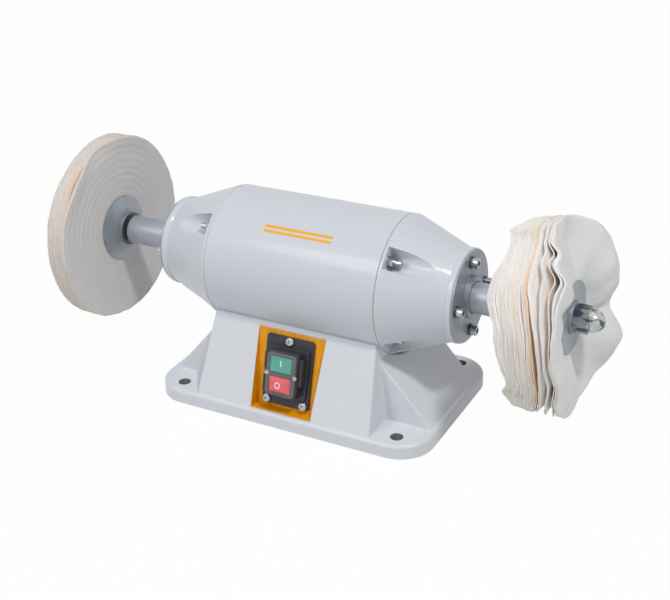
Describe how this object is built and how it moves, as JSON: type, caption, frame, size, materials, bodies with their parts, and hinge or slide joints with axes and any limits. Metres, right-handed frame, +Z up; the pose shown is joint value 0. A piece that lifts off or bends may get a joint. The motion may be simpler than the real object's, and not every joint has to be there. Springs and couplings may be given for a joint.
{
  "type": "bench polisher",
  "caption": "Bench polishing motor on a cast pedestal, with a push-button switch and a cotton buff at each end of its spindle.",
  "frame": {"origin": "on the underside of the base, at the centre of its four bolt holes", "axes": "+X along the spindle towards the loose buff, -Y the switch side, +Z up"},
  "size_m": [0.6007, 0.2025, 0.24],
  "materials": {
    "paint": "glossy light grey enamel",
    "steel": "turned, satin",
    "zinc": "bright zinc plate",
    "bright_nut": "polished",
    "lamination": "stacked sheet, varnished",
    "rotor_aluminium": "as cast",
    "copper": "varnished wire",
    "black_plastic": "fine grain",
    "grey_plastic": "satin",
    "green_plastic": "smooth",
    "red_plastic": "smooth",
    "capacitor_case": "smooth",
    "sewn_cotton": "stitched woven cotton",
    "loose_cotton": "woven cotton, frayed edges"
  },
  "bodies": {
    "pedestal": {"base_casting": "paint", "stator_shell": "paint", "left_end_bell": "paint", "right_end_bell": "paint", "left_bearing_cover": "steel", "right_bearing_cover": "steel", "left_bearing_outer_ring": "steel", "right_bearing_outer_ring": "steel", "preload_washer": "steel", "bottom_cover": "zinc", "bottom_cover_screws": "zinc", "saddle_bolts": "zinc", "tie_rods": "zinc", "tie_rod_nuts": "zinc", "tie_rod_washers": "zinc", "cover_screws": "zinc", "cover_washers": "zinc", "switch_plate_screws": "zinc", "switch_screws": "zinc", "capacitor_clamp": "zinc", "clamp_screws": "zinc", "start_spring": "zinc", "stop_spring": "zinc", "stator_core": "lamination", "stator_windings": "copper", "switch_plate": "black_plastic", "switch_housing": "black_plastic", "switch_body": "black_plastic", "cable_gland": "black_plastic", "gland_locknut": "black_plastic", "switch_frame": "grey_plastic", "capacitor": "capacitor_case"},
    "spindle": {"shaft": "steel", "rotor_core": "lamination", "rotor_end_rings": "rotor_aluminium", "left_bearing_inner_ring": "steel", "right_bearing_inner_ring": "steel", "left_spacer_sleeve": "steel", "right_spacer_sleeve": "steel", "left_inner_flange": "steel", "right_inner_flange": "steel", "left_outer_flange": "steel", "right_outer_flange": "steel", "left_cap_nut": "bright_nut", "right_cap_nut": "bright_nut", "sewn_buff": "sewn_cotton", "loose_buff": "loose_cotton"},
    "left_cage": {"left_bearing_cage": "steel", "left_bearing_balls": "steel"},
    "right_cage": {"right_bearing_cage": "steel", "right_bearing_balls": "steel"},
    "start_button": {"start_button": "green_plastic"},
    "stop_button": {"stop_button": "red_plastic"}
  },
  "joints": [
    {"name": "spindle_spin", "type": "hinge", "parent": "pedestal", "child": "spindle", "pos_m": [0, 0, 0.14], "axis": [1, 0, 0], "continuous": true},
    {"name": "left_cage_spin", "type": "hinge", "parent": "pedestal", "child": "left_cage", "pos_m": [0, 0, 0.14], "axis": [1, 0, 0], "continuous": true},
    {"name": "right_cage_spin", "type": "hinge", "parent": "pedestal", "child": "right_cage", "pos_m": [0, 0, 0.14], "axis": [1, 0, 0], "continuous": true},
    {"name": "start_press", "type": "slide", "parent": "pedestal", "child": "start_button", "axis": [0, 0.9646, -0.2639], "range_m": [0, 0.003], "stiffness_N_per_m": 600, "deforming": ["start_spring"]},
    {"name": "stop_press", "type": "slide", "parent": "pedestal", "child": "stop_button", "axis": [0, 0.9646, -0.2639], "range_m": [0, 0.003], "stiffness_N_per_m": 600, "deforming": ["stop_spring"]}
  ],
  "couplings": [
    {"joint": "left_cage_spin", "follows": "spindle_spin", "ratio": 0.38358},
    {"joint": "right_cage_spin", "follows": "spindle_spin", "ratio": 0.38358}
  ]
}
